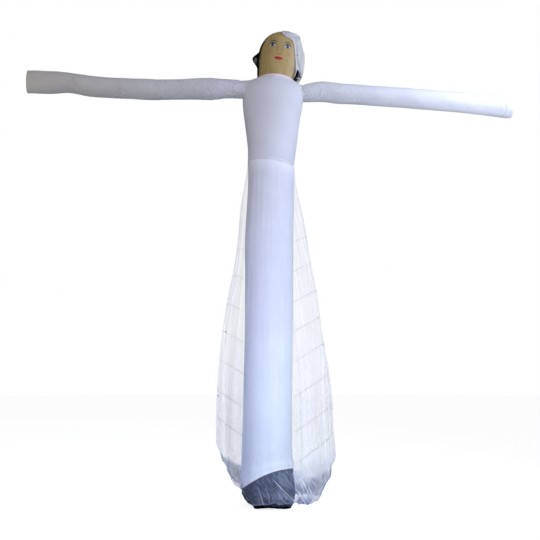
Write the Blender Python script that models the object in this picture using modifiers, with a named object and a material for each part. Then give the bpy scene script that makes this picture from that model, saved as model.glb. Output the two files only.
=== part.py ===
"""Inflatable air dancer dressed as a bride, standing blown up on its fan cuff.

Metres, +Z up. The figure faces -Y and its left arm points along +X. The origin is the
middle of the cuff's mouth, on the ground. Every piece is a cloth sheet, lofted through
the rings of a short table and given its thickness inwards.
"""

from collections import namedtuple
from math import copysign, cos, exp, radians, sin, tau

import bmesh
import bpy
from mathutils import Vector

# Cloths and seams
NYLON = 0.002  # body cloth
CUFF_CLOTH = 0.003  # doubled cloth of the fan cuff
TULLE = 0.0015  # overskirt
TAPE = 0.0015
SEAM = 0.0005  # gap between two sewn pieces
ARMHOLE_SEAM = 0.0009  # the same where a sleeve follows the curved shoulder
HEAD_SEAT = NYLON + 0.0015  # lift of a cloth where it is sewn to the head

# Whole figure
CROWN_HEIGHT = 5.968
NECK_HEIGHT = 5.320
NECK_WIDE = 0.222
NECK_DEEP = 0.210
NECK_LEAN = -0.057  # rise of the neck ring per metre towards +X
HEAD_LEAN = 0.135  # sideways shift of the head's axis per metre of height
WAIST_HEIGHT = 4.180
WAIST_WIDE = 0.293
WAIST_DEEP = 0.288
WAIST_LEAN = -0.126
WAIST_X = -0.011
TAPE_WIDTH = 0.025

# Slanted hem between the white tube and the black cuff
HEM_HEIGHT = 0.415
HEM_RADIUS = 0.307
HEM_DEEP = 0.302
HEM_X = -0.058
HEM_RISE = 0.39  # rise per metre towards +X
HEM_BEND = -0.80  # how far the rise flattens out, per square metre

MOUTH_RADIUS = 0.223  # round the fan's outlet
CUFF_HEM = 0.016  # height of the upright band round the mouth

SLEEVE_ROOT = 0.27  # sleeves are drawn from here and trimmed back to the torso
SLEEVE_REACH = 3.118

# Folds
CUFF_FOLDS = 9
SKIRT_FOLDS = 16
SKIRT_CROSS_FOLDS = 5  # a slower wave that makes the folds uneven
SKIRT_CROSS_SIZE = 0.6  # its height against the folds' own
SCALLOP = 0.008  # wave of the overskirt's hem

# Tuft of hair that stands out at the figure's right
TUFT_TURN = 186  # degrees round the head from +X
TUFT_SPREAD = 18
TUFT_UP = 0.30
TUFT_HEIGHT = 0.13
TUFT_REACH = 0.075

# Segments round each piece
BODY_SIDES = 36
SLEEVE_SIDES = 20
HEAD_SIDES = 24
SKIRT_SIDES = 64
HAIR_SIDES = 18
VEIL_SIDES = 20

# A level section of a body piece. tilt and bend raise it by x and x squared, and pinch
# above 1 draws its sides out to points.
Ring = namedtuple("Ring", "z x wide deep tilt bend fold pinch", defaults=(0, 0, 0, 1))
# A section across a sleeve. flat under 1 narrows it from front to back.
Hoop = namedtuple("Hoop", "reach z radius flat", defaults=(1,))
# A section of a cloth laid over the head, at a share of the way up it. It starts at one
# turn round the head, in degrees from +X towards the back, and ends at another. Its lifts
# off the head are those at its start, straight to the side and at its end.
Drape = namedtuple("Drape", "up start start_lift side_lift end end_lift")
# A section of the overskirt, with its reach to each side of the figure's middle.
Flare = namedtuple("Flare", "z left right deep tilt bend fold")

CUFF = (
    Ring(0.000, 0.003, MOUTH_RADIUS, MOUTH_RADIUS, fold=0.002),
    Ring(CUFF_HEM, 0.003, MOUTH_RADIUS, MOUTH_RADIUS, fold=0.002),
    Ring(0.045, -0.004, 0.258, 0.256, fold=0.004),
    Ring(0.105, -0.020, 0.292, 0.288, tilt=0.08, fold=0.003),
    Ring(0.210, -0.042, 0.309, 0.304, tilt=0.20, fold=0.001),
    Ring(HEM_HEIGHT - SEAM, HEM_X, HEM_RADIUS, HEM_DEEP, tilt=HEM_RISE, bend=HEM_BEND),
)

LOWER_TUBE = (
    Ring(HEM_HEIGHT, HEM_X, HEM_RADIUS, HEM_DEEP, tilt=HEM_RISE, bend=HEM_BEND),
    Ring(0.640, -0.059, 0.302, 0.298, tilt=0.10),
    Ring(1.050, -0.054, 0.294, 0.291),
    Ring(1.600, -0.049, 0.294, 0.291),
    Ring(2.150, -0.038, 0.294, 0.291),
    Ring(2.700, -0.034, 0.297, 0.293),
    Ring(3.200, -0.036, 0.301, 0.294),
    Ring(3.620, -0.018, 0.294, 0.290, tilt=-0.04),
    Ring(3.920, -0.008, 0.289, 0.286, tilt=-0.09),
    Ring(WAIST_HEIGHT, WAIST_X, WAIST_WIDE, WAIST_DEEP, tilt=WAIST_LEAN),
)

TORSO = (
    Ring(WAIST_HEIGHT + SEAM, WAIST_X, WAIST_WIDE, WAIST_DEEP, tilt=WAIST_LEAN),
    Ring(WAIST_HEIGHT + TAPE_WIDTH, WAIST_X, WAIST_WIDE, WAIST_DEEP, tilt=WAIST_LEAN),
    Ring(4.360, -0.003, 0.304, 0.286, tilt=-0.11),
    Ring(4.530, 0.000, 0.325, 0.283, tilt=-0.09),
    Ring(4.700, 0.000, 0.346, 0.280, tilt=-0.08),
    Ring(4.860, 0.002, 0.369, 0.278, tilt=-0.07),
    Ring(4.980, 0.008, 0.384, 0.276, tilt=NECK_LEAN),
    Ring(5.090, 0.014, 0.391, 0.266, tilt=NECK_LEAN),
    Ring(5.180, 0.018, 0.391, 0.252, tilt=NECK_LEAN, pinch=1.1),
    Ring(5.240, 0.021, 0.386, 0.238, tilt=NECK_LEAN, pinch=1.25),
    Ring(5.272, 0.024, 0.370, 0.226, tilt=-0.050, pinch=1.4),
    Ring(5.291, 0.032, 0.334, 0.217, tilt=-0.045, pinch=1.4),
    Ring(5.304, 0.042, 0.278, 0.213, tilt=-0.040, pinch=1.2),
    Ring(NECK_HEIGHT, 0.048, NECK_WIDE, NECK_DEEP, tilt=NECK_LEAN),
)

HEAD = (
    Ring(NECK_HEIGHT + SEAM, 0.048, NECK_WIDE + 0.001, NECK_DEEP + 0.001, tilt=NECK_LEAN),
    Ring(5.400, 0.058, 0.236, 0.228, tilt=-0.10),
    Ring(5.490, 0.070, 0.248, 0.242, tilt=-HEAD_LEAN),
    Ring(5.580, 0.083, 0.254, 0.250, tilt=-HEAD_LEAN),
    Ring(5.675, 0.096, 0.252, 0.250, tilt=-HEAD_LEAN),
    Ring(5.760, 0.108, 0.236, 0.237, tilt=-HEAD_LEAN),
    Ring(5.836, 0.119, 0.202, 0.207, tilt=-HEAD_LEAN),
    Ring(5.898, 0.128, 0.152, 0.160, tilt=-HEAD_LEAN),
    Ring(5.943, 0.134, 0.092, 0.102, tilt=-HEAD_LEAN),
    Ring(CROWN_HEIGHT, 0.138, 0.000, 0.000, tilt=-HEAD_LEAN),
)

# The figure's right arm, at -X, held level and lifted a little at its open end
RIGHT_SLEEVE = (
    Hoop(SLEEVE_ROOT, 5.190, 0.116),
    Hoop(0.440, 5.196, 0.118),
    Hoop(0.600, 5.193, 0.122),
    Hoop(0.800, 5.188, 0.138),
    Hoop(1.000, 5.186, 0.135),
    Hoop(1.220, 5.173, 0.128),
    Hoop(1.500, 5.168, 0.131),
    Hoop(1.800, 5.176, 0.130),
    Hoop(2.100, 5.184, 0.128),
    Hoop(2.360, 5.204, 0.132),
    Hoop(2.500, 5.228, 0.127),
    Hoop(2.640, 5.244, 0.130, flat=0.95),
    Hoop(2.880, 5.243, 0.147, flat=0.80),
    Hoop(SLEEVE_REACH, 5.247, 0.150, flat=0.60),
)

# The figure's left arm, at +X, which droops towards its open end
LEFT_SLEEVE = (
    Hoop(SLEEVE_ROOT, 5.160, 0.114),
    Hoop(0.450, 5.160, 0.117),
    Hoop(0.560, 5.171, 0.126),
    Hoop(0.680, 5.176, 0.130),
    Hoop(0.880, 5.155, 0.130),
    Hoop(1.150, 5.141, 0.127),
    Hoop(1.450, 5.122, 0.126),
    Hoop(1.750, 5.108, 0.127),
    Hoop(2.050, 5.084, 0.127),
    Hoop(2.350, 5.066, 0.128),
    Hoop(2.620, 5.040, 0.126),
    Hoop(2.850, 5.013, 0.125),
    Hoop(3.010, 4.996, 0.132),
    Hoop(SLEEVE_REACH, 4.988, 0.131, flat=0.85),
)

HAIR = (
    Drape(0.04, -8, 0.050, 0.049, 188, 0.010),
    Drape(0.13, -9, 0.044, 0.043, 190, 0.010),
    Drape(2 / 9, -10, 0.036, 0.035, 192, 0.010),
    Drape(TUFT_UP, -10, 0.030, 0.029, 196, 0.010),
    Drape(4 / 9, -10, 0.022, 0.021, 196, 0.010),
    Drape(5 / 9, -10, 0.018, 0.018, 196, 0.009),
    Drape(6 / 9, -10, 0.016, 0.016, 194, 0.008),
    Drape(7 / 9, -10, 0.012, 0.012, 192, 0.007),
    Drape(8 / 9, -10, HEAD_SEAT, HEAD_SEAT, 190, HEAD_SEAT),
)

VEIL = (
    Drape(0.05, -8, 0.066, 0.096, 150, 0.030),
    Drape(0.13, -10, 0.058, 0.096, 151, 0.030),
    Drape(0.20, -34, 0.014, 0.096, 152, 0.030),
    Drape(0.30, -38, 0.012, 0.092, 154, 0.028),
    Drape(0.42, -43, 0.012, 0.090, 155, 0.026),
    Drape(0.54, -45, 0.012, 0.086, 155, 0.025),
    Drape(0.64, -47, 0.013, 0.084, 156, 0.024),
    Drape(0.67, -62, 0.014, 0.091, 156, 0.024),
    Drape(0.70, -76, 0.014, 0.100, 157, 0.023),
    Drape(0.76, -84, 0.012, 0.134, 158, 0.022),
    Drape(0.82, -88, 0.012, 0.090, 159, 0.021),
    Drape(8 / 9, -90, 0.018, 0.062, 160, 0.020),
    Drape(0.94, -92, 0.020, 0.040, 165, 0.018),
    Drape(1.00, -94, NYLON + SEAM, NYLON + SEAM, 170, NYLON + SEAM),
)

OVERSKIRT = (
    Flare(0.000, 0.475, 0.555, 0.340, 0.00, 0.00, 0.010),
    Flare(0.165, 0.530, 0.605, 0.410, -0.19, 0.50, 0.015),
    Flare(0.340, 0.600, 0.680, 0.490, -0.15, 0.25, 0.018),
    Flare(0.520, 0.640, 0.725, 0.545, -0.12, 0.10, 0.020),
    Flare(0.665, 0.655, 0.745, 0.560, -0.11, 0.00, 0.020),
    Flare(0.950, 0.655, 0.725, 0.555, -0.05, 0.00, 0.018),
    Flare(1.300, 0.652, 0.712, 0.540, 0.00, 0.00, 0.018),
    Flare(1.700, 0.628, 0.670, 0.505, 0.00, 0.00, 0.017),
    Flare(2.100, 0.590, 0.604, 0.465, 0.00, 0.00, 0.016),
    Flare(2.500, 0.532, 0.552, 0.430, 0.00, 0.00, 0.015),
    Flare(2.900, 0.458, 0.478, 0.390, 0.00, 0.00, 0.013),
    Flare(3.250, 0.416, 0.426, 0.362, -0.02, 0.00, 0.012),
    Flare(3.560, 0.394, 0.376, 0.338, -0.05, 0.00, 0.009),
    Flare(3.850, 0.350, 0.318, 0.311, -0.09, 0.00, 0.005),
    Flare(4.020, 0.320, 0.298, 0.299, -0.11, 0.00, 0.002),
)

# Height of the overskirt's hem every 22.5 degrees, from +X towards the back and round
OVERSKIRT_HEM = (
    *(0.125, 0.115, 0.105, 0.100, 0.100, 0.130, 0.200, 0.290),
    *(0.330, 0.292, 0.205, 0.090, 0.088, 0.104, 0.056, 0.100),
)

COLOURS = {
    "nylon_white": (0.72, 0.75, 0.86),
    "cuff_black": (0.010, 0.011, 0.018),
    "skin_cloth": (0.45, 0.34, 0.20),
    "hair_black": (0.006, 0.006, 0.007),
    "veil_white": (0.78, 0.77, 0.86),
    "tape_white": (0.90, 0.91, 0.95),
    "tulle_white": (0.80, 0.82, 0.88),
}


def collection(name):
    group = bpy.data.collections.new(name)
    bpy.context.scene.collection.children.link(group)
    return group


def material(name):
    made = bpy.data.materials.get(name)
    if made is None:
        made = bpy.data.materials.new(name)
        made.use_nodes = True
        shader = made.node_tree.nodes["Principled BSDF"]
        shader.inputs["Base Color"].default_value = (*COLOURS[name], 1)
        shader.inputs["Roughness"].default_value = 0.6
        shader.inputs["Metallic"].default_value = 0
    return made


def row_at(rows, share):
    """The row a share of the way up a table, on a straight line between its rows."""
    place = share * (len(rows) - 1)
    below = min(int(place + 1e-6), len(rows) - 2)
    part = place - below
    pairs = zip(rows[below], rows[below + 1])
    return type(rows[0])(*(a + (b - a) * part for a, b in pairs))


def eased(share):
    return share * share * (3 - 2 * share)


def pinched(value, pinch):
    return copysign(abs(value) ** pinch, value)


def on_ring(ring, angle):
    fold = ring.fold * cos(CUFF_FOLDS * angle)
    x = (ring.wide + fold) * pinched(cos(angle), ring.pinch)
    y = (ring.deep + fold) * pinched(sin(angle), ring.pinch)
    return Vector((ring.x + x, y, ring.z + ring.tilt * x + ring.bend * x * x))


def on_body(rows):
    def place(share_round, share_up):
        return on_ring(row_at(rows, share_up), tau * share_round)

    return place


def on_sleeve(rows, side):
    def place(share_round, share_along):
        hoop = row_at(rows, share_along)
        angle = side * tau * share_round
        y = hoop.radius * hoop.flat * cos(angle)
        return Vector((side * hoop.reach, y, hoop.z + hoop.radius * sin(angle)))

    return place


def over_head(rows, tuft=0.0):
    """Cloth lifted off the head: outwards low down, and more and more upwards towards the crown."""

    def place(share_round, share_up):
        drape = row_at(rows, share_up)
        turn = drape.start + (drape.end - drape.start) * share_round
        edge, edge_lift = (drape.start, drape.start_lift) if turn < 0 else (drape.end, drape.end_lift)
        lift = drape.side_lift + (edge_lift - drape.side_lift) * eased(turn / edge)
        round_tuft = exp(-(((turn - TUFT_TURN) / TUFT_SPREAD) ** 2))
        up_tuft = max(0.0, 1 - abs(drape.up - TUFT_UP) / TUFT_HEIGHT)
        lift += tuft * round_tuft * up_tuft
        upwards = drape.up**3
        head = row_at(HEAD, drape.up)
        ring = head._replace(
            wide=head.wide + lift * (1 - upwards),
            deep=head.deep + lift * (1 - upwards),
            z=head.z + lift * upwards,
        )
        return on_ring(ring, radians(turn))

    return place


def hem_height(share_round):
    place = share_round * len(OVERSKIRT_HEM)
    before = int(place + 1e-6)
    low, high = (OVERSKIRT_HEM[i % len(OVERSKIRT_HEM)] for i in (before, before + 1))
    return low + (high - low) * (place - before)


def on_skirt(share_round, share_up):
    flare = row_at(OVERSKIRT_ROWS, share_up)
    angle = tau * share_round
    uneven = cos(SKIRT_FOLDS * angle) + SKIRT_CROSS_SIZE * cos(SKIRT_CROSS_FOLDS * angle + 1)
    fold = flare.fold * uneven / (1 + SKIRT_CROSS_SIZE)
    middle = (flare.right - flare.left) / 2
    x = ((flare.right + flare.left) / 2 + fold) * cos(angle)
    y = (flare.deep + fold) * sin(angle)
    hem_share = max(0.0, 1 - share_up * (len(OVERSKIRT_ROWS) - 1))
    hem = hem_height(share_round) + SCALLOP * cos(SKIRT_FOLDS * angle / 2)
    rise = flare.tilt * x + flare.bend * x * x
    return Vector((middle + x, y, flare.z + rise + hem_share * hem))


def wrapped(name, place, sides, rows):
    """A mesh of one cloth: a flat grid whose points are carried to their places."""
    shape = bmesh.new()
    bmesh.ops.create_grid(shape, x_segments=sides, y_segments=rows, size=0.5)
    for point in shape.verts:
        point.co = place(point.co.x + 0.5, point.co.y + 0.5)
    bmesh.ops.remove_doubles(shape, verts=shape.verts, dist=1e-5)
    mesh = bpy.data.meshes.new(name)
    shape.to_mesh(mesh)
    shape.free()
    return mesh


def capped(mesh):
    """The same mesh with its open ends filled, which makes it a solid form."""
    shape = bmesh.new()
    shape.from_mesh(mesh)
    bmesh.ops.holes_fill(shape, edges=shape.edges, sides=0)
    bmesh.ops.recalc_face_normals(shape, faces=shape.faces)
    shape.to_mesh(mesh)
    shape.free()
    return mesh


def cloth(name, mesh, slot, thickness):
    """One piece of cloth as an object, given its thickness inwards."""
    piece = bpy.data.objects.new(name, mesh)
    PARTS.objects.link(piece)
    mesh.materials.append(material(slot))
    mesh.shade_smooth()
    wall = piece.modifiers.new("thickness", "SOLIDIFY")
    wall.thickness = thickness
    wall.offset = -1
    wall.use_even_offset = True
    return piece


def cutter(name, mesh):
    tool = bpy.data.objects.new(name, capped(mesh))
    CUTTERS.objects.link(tool)
    tool.hide_render = True
    tool.display_type = "WIRE"
    return tool


def cut(piece, tool):
    trim = piece.modifiers.new(tool.name, "BOOLEAN")
    trim.operation = "DIFFERENCE"
    trim.solver = "EXACT"
    trim.object = tool


def sleeve(name, rows, side, torso, torso_form):
    """A sleeve trimmed to the torso, and the armhole that lets the air into it."""
    mesh = wrapped(name, on_sleeve(rows, side), SLEEVE_SIDES, len(rows) - 1)
    piece = cloth(name, mesh, "nylon_white", NYLON)
    cut(piece, torso_form)
    bore_rows = [row._replace(radius=row.radius - NYLON) for row in rows[:3]]
    bore = wrapped(name + "_bore", on_sleeve(bore_rows, side), SLEEVE_SIDES, len(bore_rows) - 1)
    cut(torso, cutter(name + "_bore", bore))


def body_piece(name, rows, slot, thickness, sides=BODY_SIDES):
    mesh = wrapped(name, on_body(rows), sides, len(rows) - 1)
    return cloth(name, mesh, slot, thickness)


def waist_tape():
    half = TAPE_WIDTH / 2
    over = SEAM + TAPE
    edge = Ring(0, WAIST_X, WAIST_WIDE + over, WAIST_DEEP + over, tilt=WAIST_LEAN)
    rows = [edge._replace(z=WAIST_HEIGHT + rise) for rise in (-half, half)]
    body_piece("waist_tape", rows, "tape_white", TAPE)


def overskirt():
    mesh = wrapped("overskirt", on_skirt, SKIRT_SIDES, len(OVERSKIRT_ROWS) - 1)
    cloth("overskirt", mesh, "tulle_white", TULLE)


def skirt_top():
    """The overskirt's gathered top edge, just under the tape."""
    over = SEAM + TULLE
    height = WAIST_HEIGHT - TAPE_WIDTH / 2 - SEAM
    reach = WAIST_WIDE + over
    deep = WAIST_DEEP + over
    return Flare(height, reach - WAIST_X, reach + WAIST_X, deep, WAIST_LEAN, 0, 0)


def build():
    body_piece("base_cuff", CUFF, "cuff_black", CUFF_CLOTH)
    body_piece("lower_tube", LOWER_TUBE, "nylon_white", NYLON)
    torso = body_piece("torso", TORSO, "nylon_white", NYLON)
    waist_tape()
    overskirt()

    gap = ARMHOLE_SEAM
    grown = [row._replace(wide=row.wide + gap, deep=row.deep + gap, z=row.z + gap) for row in TORSO]
    torso_form = cutter(
        "torso_form", wrapped("torso_form", on_body(grown), BODY_SIDES, len(grown) - 1)
    )
    sleeve("right_sleeve", RIGHT_SLEEVE, -1, torso, torso_form)
    sleeve("left_sleeve", LEFT_SLEEVE, 1, torso, torso_form)

    body_piece("head", HEAD, "skin_cloth", NYLON, HEAD_SIDES)
    hair = wrapped("hair", over_head(HAIR, TUFT_REACH), HAIR_SIDES, len(HAIR) - 1)
    cloth("hair", hair, "hair_black", NYLON)
    veil = wrapped("veil", over_head(VEIL), VEIL_SIDES, len(VEIL) - 1)
    cloth("veil", veil, "veil_white", NYLON)


for old in list(bpy.data.objects):
    bpy.data.objects.remove(old, do_unlink=True)

PARTS = collection("inflatable_air_dancer")
CUTTERS = collection("cutters")
OVERSKIRT_ROWS = (*OVERSKIRT, skirt_top())
build()
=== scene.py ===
"""Looks of the inflatable air dancer dressed as a bride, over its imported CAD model.

Metres, +Z up. The figure faces -Y and its left arm points along +X. Each cloth is a fine
flat grid carried to its place through the rings of a short table, then pressed in along
its creases and pleats.
"""

from collections import namedtuple
from functools import partial, reduce
from math import radians, tau

import bmesh
import bpy
import numpy as np
from mathutils import Matrix, Vector, noise


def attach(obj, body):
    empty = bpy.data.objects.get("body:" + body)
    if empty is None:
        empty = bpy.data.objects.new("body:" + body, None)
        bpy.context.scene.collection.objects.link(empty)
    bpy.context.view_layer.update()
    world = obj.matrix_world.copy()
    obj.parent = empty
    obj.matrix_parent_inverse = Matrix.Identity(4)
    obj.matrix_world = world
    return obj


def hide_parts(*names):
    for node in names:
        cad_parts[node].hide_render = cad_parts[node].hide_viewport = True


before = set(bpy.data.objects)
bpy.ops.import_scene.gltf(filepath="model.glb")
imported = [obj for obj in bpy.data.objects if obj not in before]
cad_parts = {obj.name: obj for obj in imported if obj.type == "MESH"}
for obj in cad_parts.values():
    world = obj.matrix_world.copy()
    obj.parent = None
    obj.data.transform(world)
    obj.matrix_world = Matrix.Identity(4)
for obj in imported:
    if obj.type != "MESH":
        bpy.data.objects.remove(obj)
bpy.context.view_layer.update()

# Cloths and seams
NYLON = 0.0012
CUFF_CLOTH = 0.002
SEAM = 0.0005
TAPE = 0.0015
TULLE = 0.0015
HEAD_SEAT = 0.0035
SLEEVE_FLAT = (0.82, 2.76)
SLEEVE_TOP = 0.362  # where a sleeve starts, inside its armhole's collar
ARMHOLE = 0.388  # where the collar ends, with the seam
COLLAR_LIFT = 0.0025  # the collar lies this far over the sleeve
COLLAR_SOFT = 0.022  # and rounds off towards the torso over this length

# Whole figure
CROWN_HEIGHT = 5.968
NECK_HEIGHT = 5.320
NECK_WIDE = 0.222
NECK_DEEP = 0.210
NECK_LEAN = -0.057
HEAD_LEAN = 0.135
HEAD_RADIUS = 0.25  # mean, for lengths round the face
WAIST_HEIGHT = 4.180
WAIST_WIDE = 0.293
WAIST_DEEP = 0.288
WAIST_LEAN = -0.126
WAIST_X = -0.011
TAPE_WIDTH = 0.025
HEM_HEIGHT = 0.422
HEM_RADIUS = 0.307
HEM_X = -0.058
HEM_RISE = 0.39
HEM_BEND = -0.90
MOUTH_RADIUS = 0.223
CUFF_HEM = 0.016
CUFF_FOLDS = 9
SKIRT_FOLDS = 16
SKIRT_CROSS_FOLDS = 5
SLEEVE_ROOT = 0.27
SLEEVE_REACH = 3.118
TUFT_TURN = 186
TUFT_SPREAD = 18
TUFT_UP = 0.30
TUFT_HEIGHT = 0.13
TUFT_REACH = 0.075

Ring = namedtuple("Ring", "z x wide deep tilt bend fold pinch", defaults=(0, 0, 0, 1))
Hoop = namedtuple("Hoop", "reach z radius flat", defaults=(1,))
Drape = namedtuple("Drape", "up start start_lift side_lift end end_lift")
Flare = namedtuple("Flare", "z left right deep tilt bend fold")
# A band of short creases round a sleeve
Puckers = namedtuple("Puckers", "reach spread depth")

CUFF = (
    Ring(0.000, 0.003, MOUTH_RADIUS, MOUTH_RADIUS, fold=0.002),
    Ring(CUFF_HEM, 0.003, MOUTH_RADIUS, MOUTH_RADIUS, fold=0.002),
    Ring(0.045, -0.004, 0.258, 0.256, fold=0.004),
    Ring(0.105, -0.020, 0.292, 0.288, tilt=0.08, fold=0.003),
    Ring(0.210, -0.042, 0.309, 0.304, tilt=0.20, fold=0.001),
    Ring(HEM_HEIGHT - SEAM, HEM_X, HEM_RADIUS, 0.302, tilt=HEM_RISE, bend=HEM_BEND),
)

LOWER_TUBE = (
    Ring(HEM_HEIGHT, HEM_X, HEM_RADIUS, 0.302, tilt=HEM_RISE, bend=HEM_BEND),
    Ring(0.640, -0.059, 0.302, 0.298, tilt=0.10),
    Ring(1.050, -0.054, 0.294, 0.291),
    Ring(1.600, -0.049, 0.294, 0.291),
    Ring(2.150, -0.038, 0.294, 0.291),
    Ring(2.700, -0.034, 0.297, 0.293),
    Ring(3.200, -0.036, 0.301, 0.294),
    Ring(3.620, -0.018, 0.294, 0.290, tilt=-0.04),
    Ring(3.920, -0.008, 0.289, 0.286, tilt=-0.09),
    Ring(WAIST_HEIGHT, WAIST_X, WAIST_WIDE, WAIST_DEEP, tilt=WAIST_LEAN),
)

TORSO = (
    Ring(WAIST_HEIGHT + SEAM, WAIST_X, WAIST_WIDE, WAIST_DEEP, tilt=WAIST_LEAN),
    Ring(WAIST_HEIGHT + TAPE_WIDTH, WAIST_X, WAIST_WIDE, WAIST_DEEP, tilt=WAIST_LEAN),
    Ring(4.360, -0.003, 0.304, 0.286, tilt=-0.11),
    Ring(4.530, 0.000, 0.325, 0.283, tilt=-0.09),
    Ring(4.700, 0.000, 0.346, 0.280, tilt=-0.08),
    Ring(4.860, 0.002, 0.369, 0.278, tilt=-0.07),
    Ring(4.980, 0.008, 0.384, 0.276, tilt=NECK_LEAN),
    Ring(5.090, 0.014, 0.391, 0.266, tilt=NECK_LEAN),
    Ring(5.180, 0.018, 0.391, 0.252, tilt=NECK_LEAN, pinch=1.1),
    Ring(5.240, 0.021, 0.386, 0.238, tilt=NECK_LEAN, pinch=1.25),
    Ring(5.264, 0.022, 0.370, 0.226, tilt=-0.055, pinch=1.4),
    Ring(5.282, 0.030, 0.334, 0.217, tilt=-0.055, pinch=1.4),
    Ring(5.299, 0.041, 0.278, 0.213, tilt=-0.055, pinch=1.2),
    Ring(NECK_HEIGHT, 0.048, NECK_WIDE, NECK_DEEP, tilt=NECK_LEAN),
)

HEAD = (
    Ring(NECK_HEIGHT + SEAM, 0.048, NECK_WIDE + 0.001, NECK_DEEP + 0.001, tilt=NECK_LEAN),
    Ring(5.400, 0.058, 0.236, 0.228, tilt=-0.10),
    Ring(5.490, 0.070, 0.248, 0.242, tilt=-HEAD_LEAN),
    Ring(5.580, 0.083, 0.254, 0.250, tilt=-HEAD_LEAN),
    Ring(5.675, 0.096, 0.252, 0.250, tilt=-HEAD_LEAN),
    Ring(5.760, 0.108, 0.236, 0.237, tilt=-HEAD_LEAN),
    Ring(5.836, 0.119, 0.202, 0.207, tilt=-HEAD_LEAN),
    Ring(5.898, 0.128, 0.152, 0.160, tilt=-HEAD_LEAN),
    Ring(5.943, 0.134, 0.092, 0.102, tilt=-HEAD_LEAN),
    Ring(CROWN_HEIGHT, 0.138, 0.000, 0.000, tilt=-HEAD_LEAN),
)
# The crown's rounding goes on down the other side
PAST_CROWN = HEAD[-2]._replace(wide=-HEAD[-2].wide, deep=-HEAD[-2].deep)

RIGHT_SLEEVE = (
    Hoop(SLEEVE_ROOT, 5.184, 0.110),
    Hoop(0.390, 5.187, 0.112),
    Hoop(0.450, 5.194, 0.117),
    Hoop(0.600, 5.193, 0.122),
    Hoop(0.800, 5.188, 0.138),
    Hoop(1.000, 5.186, 0.135),
    Hoop(1.220, 5.173, 0.128),
    Hoop(1.500, 5.168, 0.131),
    Hoop(1.800, 5.176, 0.130),
    Hoop(2.100, 5.184, 0.128),
    Hoop(2.360, 5.204, 0.132),
    Hoop(2.500, 5.228, 0.127),
    Hoop(2.640, 5.244, 0.130, flat=0.95),
    Hoop(2.880, 5.243, 0.147, flat=0.80),
    Hoop(SLEEVE_REACH, 5.247, 0.150, flat=0.60),
)

LEFT_SLEEVE = (
    Hoop(SLEEVE_ROOT, 5.144, 0.102),
    Hoop(0.390, 5.146, 0.105),
    Hoop(0.455, 5.157, 0.116),
    Hoop(0.560, 5.171, 0.126),
    Hoop(0.680, 5.176, 0.130),
    Hoop(0.880, 5.155, 0.130),
    Hoop(1.150, 5.141, 0.127),
    Hoop(1.450, 5.122, 0.126),
    Hoop(1.750, 5.108, 0.127),
    Hoop(2.050, 5.084, 0.127),
    Hoop(2.350, 5.066, 0.128),
    Hoop(2.620, 5.040, 0.126),
    Hoop(2.850, 5.013, 0.125),
    Hoop(3.010, 4.996, 0.132),
    Hoop(SLEEVE_REACH, 4.988, 0.131, flat=0.85),
)

HAIR = (
    Drape(0.04, -20, 0.050, 0.049, 198, 0.009),
    Drape(0.13, -18, 0.044, 0.043, 200, 0.009),
    Drape(2 / 9, -14, 0.034, 0.035, 203, 0.009),
    Drape(TUFT_UP, -10, 0.028, 0.029, 205, 0.009),
    Drape(4 / 9, -10, 0.020, 0.021, 206, 0.009),
    Drape(5 / 9, -10, 0.016, 0.018, 209, 0.008),
    Drape(6 / 9, -10, 0.014, 0.016, 209, 0.007),
    Drape(7 / 9, -10, 0.010, 0.012, 209, 0.006),
    Drape(8 / 9, -10, HEAD_SEAT, HEAD_SEAT, 209, HEAD_SEAT),
)

VEIL = (
    Drape(0.04, -25, 0.030, 0.096, 150, 0.030),
    Drape(0.13, -24, 0.024, 0.096, 151, 0.030),
    Drape(0.20, -27, 0.018, 0.096, 152, 0.030),
    Drape(0.30, -33, 0.013, 0.092, 154, 0.028),
    Drape(0.42, -42, 0.012, 0.090, 155, 0.026),
    Drape(0.54, -47, 0.012, 0.086, 155, 0.025),
    Drape(0.60, -49, 0.013, 0.084, 156, 0.024),
    Drape(0.625, -56, 0.014, 0.086, 156, 0.024),
    Drape(0.645, -74, 0.014, 0.090, 156, 0.024),
    Drape(0.70, -86, 0.014, 0.100, 157, 0.023),
    Drape(0.76, -91, 0.012, 0.134, 158, 0.022),
    Drape(0.82, -94, 0.012, 0.090, 159, 0.021),
    Drape(8 / 9, -95, 0.018, 0.062, 160, 0.020),
    Drape(0.94, -96, 0.020, 0.040, 165, 0.018),
    Drape(1.00, -98, 0.0025, 0.0025, 170, 0.0025),
)

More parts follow.
